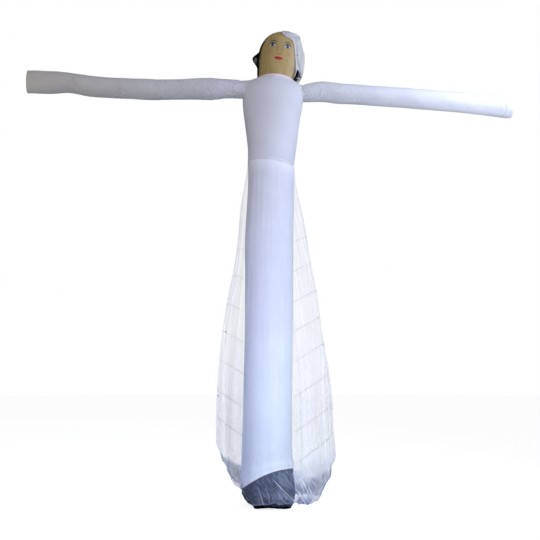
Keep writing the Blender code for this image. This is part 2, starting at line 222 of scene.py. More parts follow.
OVERSKIRT = (
    Flare(0.000, 0.475, 0.555, 0.340, 0.00, 0.00, 0.010),
    Flare(0.165, 0.530, 0.605, 0.410, -0.19, 0.50, 0.015),
    Flare(0.340, 0.580, 0.680, 0.490, -0.15, 0.25, 0.018),
    Flare(0.520, 0.614, 0.702, 0.545, -0.12, 0.10, 0.020),
    Flare(0.665, 0.655, 0.745, 0.560, -0.11, 0.00, 0.020),
    Flare(0.950, 0.655, 0.725, 0.555, -0.05, 0.00, 0.018),
    Flare(1.300, 0.652, 0.712, 0.540, 0.00, 0.00, 0.018),
    Flare(1.700, 0.628, 0.670, 0.505, 0.00, 0.00, 0.017),
    Flare(2.100, 0.590, 0.604, 0.465, 0.00, 0.00, 0.016),
    Flare(2.500, 0.532, 0.552, 0.430, 0.00, 0.00, 0.015),
    Flare(2.900, 0.458, 0.478, 0.390, 0.00, 0.00, 0.013),
    Flare(3.250, 0.416, 0.426, 0.362, -0.02, 0.00, 0.012),
    Flare(3.560, 0.394, 0.376, 0.338, -0.05, 0.00, 0.009),
    Flare(3.850, 0.350, 0.318, 0.311, -0.09, 0.00, 0.005),
    Flare(4.020, 0.320, 0.298, 0.299, -0.11, 0.00, 0.002),
    Flare(
        WAIST_HEIGHT - TAPE_WIDTH / 2 - SEAM,
        WAIST_WIDE + SEAM + TULLE - WAIST_X,
        WAIST_WIDE + SEAM + TULLE + WAIST_X,
        WAIST_DEEP + SEAM + TULLE,
        WAIST_LEAN,
        0,
        0,
    ),
)

# Height of the overskirt's hem every 11.25 degrees, from +X towards the back and round
OVERSKIRT_HEM = (
    *(0.125, 0.120, 0.115, 0.110, 0.105, 0.102, 0.100, 0.100),
    *(0.100, 0.115, 0.130, 0.165, 0.200, 0.245, 0.290, 0.310),
    *(0.330, 0.311, 0.292, 0.250, 0.192, 0.078, 0.086, 0.089),
    *(0.088, 0.096, 0.104, 0.080, 0.056, 0.078, 0.100, 0.112),
)

RIGHT_PUCKERS = (
    Puckers(0.47, 0.10, 1.0),
    Puckers(0.76, 0.13, 0.9),
    Puckers(0.98, 0.08, 0.6),
    Puckers(1.20, 0.09, 0.8),
    Puckers(1.43, 0.12, 1.0),
    Puckers(1.68, 0.04, 0.4),
    Puckers(1.96, 0.08, 0.9),
    Puckers(2.37, 0.04, 0.6),
    Puckers(2.52, 0.06, 0.8),
)

LEFT_PUCKERS = (
    Puckers(0.45, 0.08, 1.0),
    Puckers(0.62, 0.03, 0.8),
    Puckers(0.85, 0.14, 0.5),
    Puckers(1.10, 0.10, 0.4),
    Puckers(1.45, 0.10, 0.25),
    Puckers(2.20, 0.20, 0.2),
    Puckers(3.02, 0.03, 1.2),
)

STEPS_PER_ROW = 24
CREASE_WIDTH = 0.13  # share of a hill's height


# Shapes


def smooth_curve(rows, past=None):
    """Many rows on a smooth line through a table's rows."""
    table = np.array([rows[0], *rows, past or rows[-1]])
    line = [table[1]]
    for a, b, c, d in zip(table, table[1:], table[2:], table[3:]):
        for step in range(1, STEPS_PER_ROW + 1):
            t = step / STEPS_PER_ROW
            line.append(b + t / 2 * (c - a + t * (2 * a - 5 * b + 4 * c - d + t * (3 * (b - c) + d - a))))
    return np.array(line)


def even_rows(kind, rows, count, past=None):
    """The smooth line's rows at even distances along it, as one row of columns."""
    line = smooth_curve(rows, past)
    length = np.concatenate([[0], np.cumsum(np.hypot(np.diff(line[:, 0]), np.diff(line[:, 2])))])
    wanted = np.linspace(0, length[-1], count + 1)
    columns = [np.interp(wanted, length, line[:, i])[:, None] for i in range(line.shape[1])]
    return kind(*columns), length[-1]


def eased(share):
    share = np.clip(share, 0, 1)
    return share * share * (3 - 2 * share)


def pinched(value, pinch):
    return np.sign(value) * np.abs(value) ** pinch


def on_rings(ring, turn):
    fold = ring.fold * np.cos(CUFF_FOLDS * turn)
    x = (ring.wide + fold) * pinched(np.cos(turn), ring.pinch)
    y = (ring.deep + fold) * pinched(np.sin(turn), ring.pinch)
    return np.stack(np.broadcast_arrays(ring.x + x, y, ring.z + ring.tilt * x + ring.bend * x * x), -1)


def hills(places, size, seed=0.0):
    """Smooth hills and hollows between -1 and 1. A size for each axis draws them out."""
    flat = (places / np.array(size) + seed).reshape(-1, 3).tolist()
    return np.array([noise.noise(place) for place in flat]).reshape(places.shape[:-1])


def creases(places, size, seed=0.0):
    """1 along thin lines that wind between the hills, 0 off them."""
    return np.exp(-((hills(places, size, seed) / CREASE_WIDTH) ** 2))


def round_axis(turn, along, radius, twist=0.0):
    """Places on an even tube, so that what is drawn on it meets itself. A twist slants it."""
    turned = turn + twist * along
    return np.stack(np.broadcast_arrays(radius * np.cos(turned), radius * np.sin(turned), along), -1)


def lifted(places, height, closed=True):
    """Places moved out from the cloth by a height."""
    if closed:
        middle = places[:, :-1]
        across = np.roll(middle, -1, 1) - np.roll(middle, 1, 1)
        across = np.concatenate([across, across[:, :1]], 1)
    else:
        across = np.gradient(places, axis=1)
    out = np.cross(across, np.gradient(places, axis=0))
    size = np.linalg.norm(out, axis=-1, keepdims=True)
    out = np.where(size > 1e-9, out / np.maximum(size, 1e-9), (0, 0, 1))
    return places + height[..., None] * out


def woven(name, places, cut, crease=None, kept=None, pucker=None):
    """A mesh of one cloth from rows of places. cut is its width and length, for its weave."""
    rows, columns = places.shape[0] - 1, places.shape[1] - 1
    shape = bmesh.new()
    chart = shape.loops.layers.uv.new("cloth")
    bmesh.ops.create_grid(shape, x_segments=columns, y_segments=rows, size=0.5, calc_uvs=True)
    edge_of = shape.verts.layers.float.new("edge")
    marks = []
    for word, values in (("crease", crease), ("pucker", pucker)):
        values = np.zeros(1) if values is None else values
        marks.append((shape.verts.layers.float.new(word), np.broadcast_to(values, places.shape[:2])))
    lost = []
    for point in shape.verts:
        i, j = round((point.co.x + 0.5) * columns), round((point.co.y + 0.5) * rows)
        point[edge_of] = min(j, rows - j) / rows * cut[1]
        for mark, values in marks:
            point[mark] = values[j, i]
        if kept is not None and not kept[j, i]:
            lost.append(point)
        point.co = places[j, i]
    for face in shape.faces:
        for loop in face.loops:
            loop[chart].uv = loop[chart].uv * Vector(cut)
    bmesh.ops.delete(shape, geom=lost, context="VERTS")
    bmesh.ops.remove_doubles(shape, verts=shape.verts, dist=1e-5)
    mesh = bpy.data.meshes.new(name)
    shape.to_mesh(mesh)
    shape.free()
    return mesh


def placed(name, data):
    thing = bpy.data.objects.new(name, data)
    bpy.context.scene.collection.objects.link(thing)
    return thing


def cloth(node, mesh, look, thickness=NYLON):
    """One cloth that stands for its CAD node, with its thickness inwards."""
    piece = placed(node + "_cloth", mesh)
    mesh.materials.append(look)
    mesh.shade_smooth()
    if thickness:
        wall = piece.modifiers.new("thickness", "SOLIDIFY")
        wall.thickness = thickness
        wall.offset = -1
    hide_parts(node)
    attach(piece, "root")
    return piece


# Looks


class Value:
    """A node's output. A sum of such values and numbers adds the nodes for it."""

    def __init__(self, look, socket):
        self.look = look
        self.socket = socket

    def __add__(self, other):
        return self.look.math("ADD", self, other)

    def __sub__(self, other):
        return self.look.math("SUBTRACT", self, other)

    def __rsub__(self, other):
        return self.look.math("SUBTRACT", other, self)

    def __mul__(self, other):
        return self.look.math("MULTIPLY", self, other)

    def __truediv__(self, other):
        return self.look.math("DIVIDE", self, other)

    def __abs__(self):
        return self.look.math("ABSOLUTE", self)


class Looks:
    """A material's nodes. Each call adds its nodes and gives their output.

    The colour, the relief and the alpha are kept here, and are built up in layers.
    """

    def __init__(self, name):
        self.material = bpy.data.materials.new(name)
        self.material.use_nodes = True
        self.tree = self.material.node_tree
        self.shader = self.tree.nodes["Principled BSDF"]
        self.object = self.node("TexCoord", out="Object")
        self.x, self.y, self.z = self.parts(self.object)
        self.chart = self.node("UVMap", uv_map="cloth")
        self.u, self.v, _ = self.parts(self.chart)
        self.colour = None
        self.relief = None
        self.alpha = None

    def join(self, socket, value):
        if isinstance(value, Value):
            self.tree.links.new(value.socket, socket)
        elif value is not None:
            socket.default_value = value

    def node(self, kind, *values, out=0, **settings):
        made = self.tree.nodes.new("ShaderNode" + kind)
        for word, setting in settings.items():
            setattr(made, word, setting)
        for socket, value in zip(made.inputs, values):
            self.join(socket, value)
        return Value(self, made.outputs[out])

    def parts(self, vector):
        split = self.node("SeparateXYZ", vector).socket.node
        return (Value(self, output) for output in split.outputs)

    def attribute(self, word):
        return self.node("Attribute", attribute_name=word, out="Fac")

    # Sums

    def math(self, operation, *values, clamp=False):
        return self.node("Math", *values, operation=operation, use_clamp=clamp)

    def most(self, *values):
        return reduce(partial(self.math, "MAXIMUM"), values)

    def least(self, *values):
        return reduce(partial(self.math, "MINIMUM"), values)

    def cut(self, shape, hole):
        return self.math("SUBTRACT", shape, hole, clamp=True)

    def length(self, a, b):
        return self.math("SQRT", a * a + b * b)

    def remap(self, value, low, high, to_low, to_high):
        return self.node("MapRange", value, low, high, to_low, to_high)

    def step(self, value, low, high):
        """0 below low and 1 above high, or the other way about, with a soft change."""
        return self.node("MapRange", value, low, high, 0.0, 1.0, interpolation_type="SMOOTHSTEP")

    def through(self, value, table):
        """The height of a line through a table's points, each height between 0 and 1."""
        low, high = table[0][0], table[-1][0]
        ramp = self.tree.nodes.new("ShaderNodeValToRGB")
        stops = ramp.color_ramp.elements
        for _ in table[2:]:
            stops.new(0.5)
        for stop, (at, height) in zip(stops, table):
            stop.position = (at - low) / (high - low)
            stop.color = (height, height, height, 1)
        self.join(ramp.inputs[0], self.remap(value, low, high, 0.0, 1.0))
        return Value(self, ramp.outputs[0])

    # Patterns

    def grain(self, vector, scale, detail=2.0, rough=0.5):
        return self.node("TexNoise", vector, None, scale, detail, rough)

    def stretch(self, vector, x, y, z):
        return self.node("VectorMath", vector, (x, y, z), operation="MULTIPLY")

    def streaks(self, draw, scale, detail=2.0, rough=0.5):
        """Grain drawn out up and down: the smaller its first number, the longer."""
        return self.grain(self.stretch(self.object, 1, 1, draw), scale, detail, rough)

    def wave(self, value, length, kind="SINE"):
        return self.math(kind, value * (tau / length))

    def net(self, pitch):
        return self.wave(self.u, pitch) * self.wave(self.v, pitch)

    def ridges(self, slant, apart):
        """Uneven ridges side by side across a sleeve, turned by a slant."""
        turned = self.node("Mapping", self.chart, None, (0, 0, slant))
        bent = self.grain(turned, 7.0)
        across = self.node("SeparateXYZ", turned, out="X")
        wave = self.math("SINE", across * (tau / apart) + bent * 7.0)
        uneven = self.grain(self.stretch(turned, 1, 0.25, 1), 17.0)
        wave += (uneven - 0.5) * 5.0
        return self.step(wave, -0.20, 0.95)

    def oval(self, x, y, at, up, half, tall, soft=0.12):
        across = (x - at) / half
        along = (y - up) / tall
        return self.step(self.length(across, along), 1.0, 1.0 - soft)

    def almond(self, x, y, at, up, half, above, below, slant=0.0, soft=0.004):
        """A shape with two pointed ends, bulging upwards and downwards by its own amounts."""
        across = x - at
        part = across / half
        room = self.most(1.0 - part * part, 0.0)
        rise = y - up - across * slant
        top = room * above - rise
        low = room * below + rise
        return self.step(self.least(top, low), 0.0, soft)

    # Layers

    def mix(self, share, a, b):
        blend = self.tree.nodes.new("ShaderNodeMix")
        blend.data_type = "RGBA"
        for place, value in ((0, share), (6, a), (7, b)):
            if isinstance(value, tuple):
                value = (*value, 1)
            self.join(blend.inputs[place], value)
        return Value(self, blend.outputs[2])

    def paint(self, share, colour, strength=1):
        """Lays another colour over the colour so far."""
        if strength != 1:
            share = share * strength
        self.colour = self.mix(share, self.colour, colour)

    def press(self, height, distance):
        """Lays another relief over the relief so far."""
        self.relief = self.node("Bump", 1.0, distance, None, height, self.relief)

    def cover(self, share, strength=1):
        """Makes the cloth denser."""
        if strength != 1:
            share = share * strength
        self.alpha += share

    def roughness(self, grain, low, high):
        return self.remap(grain, 0.3, 0.7, low, high)

    def finish(self, **values):
        for word, value in {"base_color": self.colour, "normal": self.relief, **values}.items():
            label = word.replace("_", " ").title().replace("Ior", "IOR")
            self.join(self.shader.inputs[label], value)
        return self.material


WEAVE = 0.003  # from thread to thread, drawn coarse enough to show
RIPSTOP = 0.005  # from one thick thread to the next
STITCH = 0.006
STITCH_ROWS = (0.012, 0.019)  # distances from a sewn end
NYLON_WHITE = (0.80, 0.81, 0.85)
NYLON_SHADE = (0.75, 0.76, 0.81)

# The bright binding of a sewn end: the heights are those between which it fades in, and
# the last number is how strongly the cloth beside it is painted paler. The neck's binding is a
# pink trim; the tube's white hem band and the paler cloth above it are painted highlight.
Binding = namedtuple("Binding", "colour width from_z to_z paler")
NECK_BINDING = Binding((0.97, 0.83, 0.80), 0.080, 5.10, 5.15, 0.0)
TUBE_HEM = Binding((0.99, 0.99, 0.99), 0.030, 0.90, 0.80, 0.8)


def nylon_look(name, binding=None):
    """Fine ripstop nylon: a grid of thicker threads, rows of stitches near its sewn ends."""
    look = Looks(name)
    cloudy = look.step(look.grain(look.object, 2.2, 3.0), 0.35, 0.65)
    look.colour = look.mix(cloudy, NYLON_WHITE, NYLON_SHADE)
    # Painted shade darkens the cloth in its creases, and on the torso near its armholes
    look.paint(look.attribute("crease"), tuple(0.72 * part for part in NYLON_SHADE), 0.30)
    edge = look.attribute("edge")
    row = look.least(*(abs(edge - place) for place in STITCH_ROWS))
    dash = look.step(look.wave(look.u, STITCH), -0.3, 0.3)
    stitch = look.step(row, 0.0014, 0.0004) * dash
    look.paint(stitch, (0.95, 0.95, 0.95), 0.5)
    if binding:
        width = binding.width
        # Painted highlight: the cloth beside the sewn end is painted paler
        look.paint(look.step(edge, 0.20, width), (0.95, 0.96, 0.98), binding.paler)
        here = look.step(look.z, binding.from_z, binding.to_z)
        # The binding's colour: a pink trim at the neck, a painted highlight along the tube's hem
        look.paint(look.step(edge, width, 0.8 * width) * here, binding.colour)
    # Two groups of puckers lean to either side and take turns along a sleeve
    group = look.grain(look.chart, 6.0, 1.0)
    rising = look.ridges(0.95, 0.036) * look.step(group, 0.49, 0.56)
    falling = look.ridges(-1.00, 0.034) * look.step(group, 0.49, 0.42)
    ridge = (rising + falling) * look.attribute("pucker")
    # The ridges are painted paler: a painted highlight along the puckers
    look.paint(ridge, (0.99, 0.99, 0.99), 0.70)
    waves = (look.wave(at, RIPSTOP, "COSINE") for at in (look.u, look.v))
    threads = look.most(*(look.step(wave, 0.80, 1.0) for wave in waves))
    fuzz = look.streaks(0.6, 38.0, 3.0)
    look.press(look.streaks(0.35, 9.0, 3.0), 0.004)
    look.press(ridge, 0.007)
    look.press(fuzz, 0.0012)
    look.press(threads, 0.00012)
    look.press(stitch, 0.0008)
    return look.finish(
        roughness=look.roughness(fuzz, 0.50, 0.66),
        sheen_weight=0.15,
        sheen_roughness=0.4,
        specular_ior_level=0.35,
    )


def tape_look():
    look = Looks("bright_woven_tape")
    look.colour = look.mix(look.grain(look.object, 14.0), (0.95, 0.95, 0.97), (0.88, 0.89, 0.94))
    # Painted shade: the tape is darker at the figure's right front
    wear_and_shade = look.step(look.x, 0.02, -0.10) * look.step(look.y, 0.05, -0.05)
    look.paint(wear_and_shade, (0.80, 0.81, 0.87))
    row = look.step(abs(look.attribute("edge") - 0.004), 0.0012, 0.0004)
    stitch = look.step(look.wave(look.u, 0.010), -0.2, 0.2) * row
    look.paint(stitch, (0.55, 0.57, 0.66), 0.4)
    look.press(look.step(look.wave(look.v, 0.004), -0.6, 0.6), 0.0003)
    look.press(stitch, 0.0008)
    rough = look.roughness(look.grain(look.object, 60.0), 0.45, 0.6)
    return look.finish(roughness=rough, sheen_weight=0.3)


def cuff_look():
    look = Looks("black_cuff_cloth")
    wear_and_shade = look.step(look.streaks(0.5, 8.0, 4.0, 0.6), 0.38, 0.70)
    look.colour = look.mix(wear_and_shade, (0.006, 0.008, 0.020), (0.022, 0.029, 0.062))
    scuff = look.step(look.streaks(0.25, 34.0, 4.0, 0.7), 0.58, 0.72)
    look.paint(scuff, (0.07, 0.09, 0.16), 0.30)
    # Painted shade in the creases
    look.paint(look.attribute("crease"), (0.004, 0.004, 0.008), 0.7)
    edge = look.attribute("edge")
    rim = look.step(edge, 0.050, 0.036) * look.step(look.z, 0.12, 0.07)
    look.paint(rim, (0.002, 0.002, 0.002))
    row = look.step(abs(edge - 0.038), 0.0014, 0.0005)
    look.press(look.streaks(0.4, 16.0, 4.0), 0.008)
    look.press(look.net(WEAVE), 0.00015)
    look.press(row * look.step(look.wave(look.u, 0.008), -0.3, 0.3), 0.0008)
    rough = look.roughness(look.grain(look.object, 20.0, 3.0), 0.40, 0.62)
    return look.finish(roughness=rough, specular_ior_level=look.remap(rim, 0.0, 1.0, 0.40, 0.0))


def hair_look():
    look = Looks("black_hair_cloth")
    strand = look.streaks(0.06, 90.0, 3.0, 0.6)
    look.colour = look.mix(look.step(strand, 0.45, 0.75), (0.003, 0.003, 0.003), (0.014, 0.012, 0.011))
    # Mottled grey at the left side's foot, and a painted grey highlight inside the tuft
    low = look.step(look.z - look.y * 0.5, 5.358, 5.348)
    foot = look.step(look.x, 0.20, 0.24) * look.step(look.y, 0.05, 0.08) * low
    wear_and_shade = look.step(look.grain(look.object, 60.0, 3.0), 0.38, 0.56)
    look.paint(foot * wear_and_shade, (0.34, 0.32, 0.29))
    tuft = look.oval(look.x, look.z, -0.214, 5.552, 0.026, 0.045, 0.5)
    tuft_highlight = tuft * look.step(look.y, -0.02, -0.05) * look.step(strand, 0.36, 0.56)
    look.paint(tuft_highlight, (0.26, 0.255, 0.25))
    look.press(look.streaks(0.10, 18.0), 0.010)
    look.press(strand, 0.003)
    return look.finish(roughness=look.roughness(strand, 0.45, 0.65), specular_ior_level=0.04)


# The slit of the veil through which the hair shows: its upper point, and its foot's two
# ends, in x and z
SLIT = ((0.331, 5.448), (0.284, 5.318), (0.384, 5.344))


def slit_of(look):
    (tip_x, tip_z), (left_x, left_z), (right_x, right_z) = SLIT
    down = tip_z - look.z
    left = tip_x - down * ((tip_x - left_x) / (tip_z - left_z))
    right = down * ((right_x - tip_x) / (tip_z - right_z)) + tip_x
    lean = (right_z - left_z) / (right_x - left_x)
    foot = (look.x - left_x) * lean + left_z
    inside = look.least(look.x - left, right - look.x, look.z - foot)
    return look.step(inside, 0.0, 0.004)


def veil_look():
    look = Looks("veil_cloth")
    front = look.step(look.y, 0.10, 0.05)
    cloudy = look.streaks(0.5, 7.0, 3.0)
    look.colour = look.mix(look.step(cloudy, 0.3, 0.7), (0.88, 0.87, 0.82), (0.76, 0.75, 0.71))
    # Painted shade in the creases
    look.paint(look.attribute("crease"), (0.38, 0.37, 0.42), 0.6)
    # Painted light: the veil is painted paler towards its top
    top = look.step(look.z, 5.78, 5.88)
    look.paint(top, (0.96, 0.96, 0.97))
    # Painted shade on the ruffles
    ruffle = look.step(look.grain(look.object, 34.0, 3.0, 0.6), 0.48, 0.64) * top
    look.paint(ruffle, (0.52, 0.50, 0.45), 0.3)
    speck = look.step(look.grain(look.object, 70.0), 0.60, 0.70)
    look.paint(top * speck, (0.97, 0.96, 0.98))
    # Painted shade low on the veil's front, towards +X
    foot = look.step(look.z, 5.44, 5.40) * look.step(look.x, 0.29, 0.31) * front
    look.paint(foot, (0.36, 0.35, 0.35), 0.70)
    look.paint(look.step(look.attribute("edge"), 0.012, 0.006), (0.86, 0.85, 0.90), 0.6)
    hole = look.oval(look.x, look.z, 0.322, 5.605, 0.010, 0.012, 0.6) * front
    look.paint(hole, (0.03, 0.03, 0.04))
    look.press(look.streaks(0.25, 26.0, 3.0), 0.004)
    look.press(ruffle, 0.010)
    look.press(look.net(WEAVE), 0.0002)

    sheer_low = look.z - look.most(look.y, 0.0) * 0.5
    dense = look.step(sheer_low, 5.27, 5.36)
    patchy = look.remap(look.grain(look.object, 40.0, 3.0), 0.35, 0.65, 0.25, 0.70)
    alpha = dense * 0.95 + (1.0 - dense) * patchy
    alpha = alpha * (1.0 - slit_of(look) * front)
    return look.finish(roughness=look.roughness(cloudy, 0.55, 0.75), alpha=alpha, sheen_weight=0.3)


TUBE_X = -0.04  # middle of the tube seen through the tulle
# Creases pressed into the folded tulle at either side: heights CREASE_REACH from the middle
CREASE_SLOPE = 0.60
CREASE_REACH = 0.45
CREASE_HEIGHTS = {
    -1: (3.12, 2.760, 2.369, 2.004, 1.640, 1.262, 0.946),
    1: (3.22, 2.860, 2.489, 2.142, 1.791, 1.400, 1.013, 0.667),
}
# Long smooth folds: low x and z, high x and z, half width, strength
LONG_FOLDS = (
    (0.228, 0.50, 0.245, 3.30, 0.012, 1.0),
    (0.443, 2.01, 0.285, 3.05, 0.009, 1.0),
    (0.510, 1.25, 0.443, 2.01, 0.006, 0.6),
    (0.461, 2.90, 0.281, 3.69, 0.006, 0.9),
    (0.652, 1.10, 0.632, 1.90, 0.009, 0.9),
    (0.673, 0.46, 0.652, 1.12, 0.009, 0.9),
    (-0.413, 2.07, -0.352, 2.78, 0.008, 0.9),
    (-0.332, 0.70, -0.340, 3.00, 0.009, 0.8),
    (-0.590, 1.55, -0.575, 2.25, 0.008, 0.8),
    (-0.570, 0.60, -0.590, 1.60, 0.009, 0.9),
)
# The same at the hem, where they're doubled and dense, and painted near white as highlight
HEM_FOLDS = (
    (0.262, 0.100, -0.030, 0.410, 0.005, 1.0),
    (-0.115, 0.100, -0.155, 0.240, 0.005, 0.7),
    (-0.155, 0.240, -0.190, 0.310, 0.004, 0.5),
    (-0.045, 0.120, -0.050, 0.200, 0.005, 0.6),
    (-0.050, 0.200, -0.100, 0.290, 0.004, 0.6),
    (0.020, 0.110, -0.020, 0.190, 0.005, 0.5),
    (0.100, 0.260, 0.020, 0.360, 0.004, 0.4),
    (0.390, 0.060, 0.240, 0.300, 0.008, 0.8),
    (0.430, 0.160, 0.290, 0.420, 0.005, 0.7),
    (0.530, 0.130, 0.420, 0.200, 0.004, 0.7),
    (0.660, 0.330, 0.650, 0.470, 0.006, 0.9),
    (0.610, 0.330, 0.600, 0.430, 0.004, 0.6),
    (-0.520, 0.430, -0.570, 0.620, 0.007, 0.8),
    (-0.440, 0.330, -0.500, 0.500, 0.004, 0.6),
    (-0.375, 0.280, -0.400, 0.420, 0.004, 0.6),
)
FOLD_FADE = 0.12  # longest fading end of a fold
TULLE_KNOTS = ((-0.560, 2.055), (-0.645, 1.295), (0.602, 1.901), (0.722, 1.141))
KNOT_SIZE = 0.010
# Upper edge of the shaded hem: x and height
HEM_SHADE = (
    (-0.620, 0.620), (-0.570, 0.583), (-0.460, 0.515), (-0.375, 0.478),
    (-0.330, 0.247), (-0.100, 0.359), (0.150, 0.430), (0.280, 0.412),
    (0.377, 0.270), (0.495, 0.345), (0.642, 0.410), (0.750, 0.450),
)
FAN_X, FAN_Z = 0.205, 0.660  # where the folds of the front's right lobe meet


def long_fold(look, low_x, low_z, high_x, high_z, half, strength):
    """A soft narrow band between two places, fading at its ends."""
    lean = (high_x - low_x) / (high_z - low_z)
    middle = (look.z - low_z) * lean + low_x
    wide = half * (1 + lean * lean) ** 0.5
    band = look.step(abs(look.x - middle), wide, wide * 0.4)
    fade = min(FOLD_FADE, 0.2 * (high_z - low_z))
    ends = look.step(look.z, low_z - fade, low_z) * look.step(look.z, high_z, high_z - fade)
    return band * ends * strength


def pressed_creases(look, side, front):
    """Thin dark lines that rise outwards across both wings."""
    patchy = look.remap(look.grain(look.object, 6.0), 0.30, 0.60, 0.45, 1.0)
    level = look.z - side * CREASE_SLOPE
    lines = []
    for hand, heights in CREASE_HEIGHTS.items():
        here = look.step((look.x - TUBE_X) * hand, 0.24, 0.30)
        for height in heights:
            off = abs(level - (height - CREASE_REACH * CREASE_SLOPE))
            lines.append(look.step(off, 0.011, 0.004) * here)
    line = look.most(*lines) * patchy * look.remap(front, 0.0, 1.0, 0.35, 1.0)
    # Painted shade along the creases, where the net is also denser
    look.paint(line, (0.20, 0.20, 0.24))
    look.cover(line, 0.10)


def shaded_hem(look, wing):
    """The hem hangs doubled and in shade, lower at the front. Gives its area and its rucks."""
    ragged = (look.streaks(0.3, 26.0, 3.0, 0.6) - 0.5) * 0.16
    level = look.z + look.y * 0.15 + ragged * wing
    level = level - look.through(look.x, HEM_SHADE)
    low = look.step(level, 0.016, -0.016)
    patch = look.streaks(0.6, 7.0)
    ruck = look.streaks(0.20, 22.0, 3.0, 0.6) * 0.7 + patch * 0.3
    ruck = look.step(ruck, 0.40, 0.64)

    above = look.step(level, 0.30, 0.02) * look.step(look.x, 0.26, 0.34)
    above = above * (1.0 - low * 0.8)
    # Painted shade greys the net just above the shaded hem, towards +X, where it is also denser
    look.paint(above, (0.52, 0.54, 0.66), 0.5)
    look.cover(above * look.remap(ruck, 0.0, 1.0, 0.20, 0.11))

    over_cuff = look.mix(ruck, (0.20, 0.26, 0.46), (0.52, 0.60, 0.86))
    beside = look.mix(ruck, (0.13, 0.16, 0.26), (0.65, 0.67, 0.80))
    look.paint(low, look.mix(wing, over_cuff, beside), 0.9)
    lobe = look.step(look.x, 0.20, 0.25) * look.step(look.x, 0.50, 0.40)
    lobe = look.step(look.z, 0.26, 0.10) * lobe
    ruck = ruck * (1.0 - lobe * 0.45)
    blotch = look.step(look.x, -0.28, -0.16) * look.step(patch, 0.44, 0.60)
    middle = look.remap(look.x, -0.34, -0.10, 0.0, 0.10) + blotch * 0.10
    dense = (1.0 - wing) * middle + wing * 0.30 + lobe * 0.42
    look.cover(low * dense * look.remap(ruck, 0.0, 1.0, 1.0, 0.75))
    return low, ruck


def fanned_folds(look, front):
    """Folds that fan out down the front's right lobe."""
    across = look.x - FAN_X
    down = look.most(FAN_Z - look.z, 0.02)
    turn = across / down
    drawn = look.node("CombineXYZ", turn * 16.0, look.z * 2.0)
    rays = look.grain(drawn, 1.0, 3.0, 0.6)
    far = look.length(across, down)
    reach = look.step(far + turn * 0.30, 0.74, 0.66)
    fan = look.step(turn, 0.03, 0.10) * reach * look.step(far, 0.10, 0.20) * front
    ray = fan * look.step(rays, 0.50, 0.64)
    groove = fan * look.step(rays, 0.46, 0.36)
    # The rays are painted highlight on the folds' ridges and the grooves painted shade between them; both
    # make the net denser
    look.paint(ray, (0.90, 0.91, 0.95), 0.8)
    look.paint(groove, (0.30, 0.32, 0.42), 0.5)
    look.cover(look.most(ray, groove), 0.28)


def crossing_folds(look, middle, ruck):
    """Small folds that cross the dark cuff, thicker to its left side."""
    slope = (look.x + look.z * 0.75) * 24.0
    cross = look.grain(look.node("CombineXYZ", slope, look.z * 4.0), 1.0, 4.0, 0.65)
    cross = look.step(cross, 0.46, 0.62) * middle
    # The folds are painted pale: painted highlight on their ridges, with denser net
    look.paint(cross, (0.72, 0.78, 0.93), 0.8)
    look.cover(cross * look.remap(look.x, -0.28, 0.20, 0.02, 0.16))
    look.cover(ruck * middle, 0.03)


def tulle_look():
    """Sheer net, clearer along its long folds and denser at its hem."""
    look = Looks("white_tulle")
    side = abs(look.x - TUBE_X)
    wing = look.step(side, 0.27, 0.33)
    front = look.step(look.y, 0.05, -0.05)
    strand = look.streaks(0.008, 13.0, 2.0, 0.55)
    fine = look.streaks(0.012, 46.0)
    gathered = look.step(strand * 0.6 + fine * 0.4, 0.38, 0.64)
    look.colour = look.mix(gathered, (0.78, 0.79, 0.82), (0.90, 0.90, 0.92))
    look.alpha = look.remap(gathered, 0.0, 1.0, 0.08, 0.12)
    spread = look.remap(gathered, 0.0, 1.0, 0.05, 0.10)
    look.cover(wing * (spread + look.step(look.z, 2.4, 0.5) * 0.14))
    look.cover(look.attribute("crease"), 0.03)
    clear = look.most(*(long_fold(look, *fold) for fold in LONG_FOLDS))
    look.alpha *= 1.0 - clear * 0.85

    pressed_creases(look, side, front)
    low, ruck = shaded_hem(look, wing)
    fanned_folds(look, front)
    crossing_folds(look, (1.0 - wing) * low * front, ruck)
    for fold in HEM_FOLDS:
        band = long_fold(look, *fold) * front
        # Painted highlight on the folds' ridges, with denser net
        look.paint(band, (0.95, 0.96, 0.98))
        look.cover(band, 0.50)
    hem = look.step(look.attribute("edge"), 0.016, 0.006) * look.step(look.z, 1.4, 1.2) * 0.5
    look.paint(hem, (0.74, 0.78, 0.92))
    look.cover(hem, 0.4)
    for x, z in TULLE_KNOTS:
        knot = look.oval(look.x, look.z, x, z, KNOT_SIZE, KNOT_SIZE, 0.5) * front
        look.paint(knot, (0.14, 0.14, 0.16))
        look.cover(knot, 0.8)
    top = look.step(look.z, 3.7, 4.1) * 0.10
    alpha = look.math("ADD", look.alpha, top, clamp=True)

    look.press(fine, 0.002)
    look.press(strand, 0.006)
    look.press(ruck * low, 0.010)
    return look.finish(roughness=look.roughness(fine, 0.55, 0.75), alpha=alpha, sheen_weight=0.2)


# Heights of the face's parts by the usual proportions, from the chin to the crown
CHIN = 5.40
FACE_TALL = CROWN_HEIGHT - CHIN
MOUTH_UP = CHIN + FACE_TALL * 0.195
NOSE_UP = CHIN + FACE_TALL * 0.305
CHEEKS_UP = CHIN + FACE_TALL * 0.33
EYES_UP = CHIN + FACE_TALL * 0.50
BROWS_UP = CHIN + FACE_TALL * 0.585
EYE_X = 0.098  # an eye's width between the two eyes, and one more to each side
EYE_HALF = 0.049
INK = (0.012, 0.009, 0.010)
FACE_SHADE = (0.24, 0.13, 0.05)
# Iris, its paler ring and the pupil: radius, softness, colour
IRIS = (
    (0.0235, 0.15, (0.020, 0.050, 0.160)),
    (0.0165, 0.40, (0.035, 0.100, 0.260)),
    (0.0100, 0.30, INK),
)


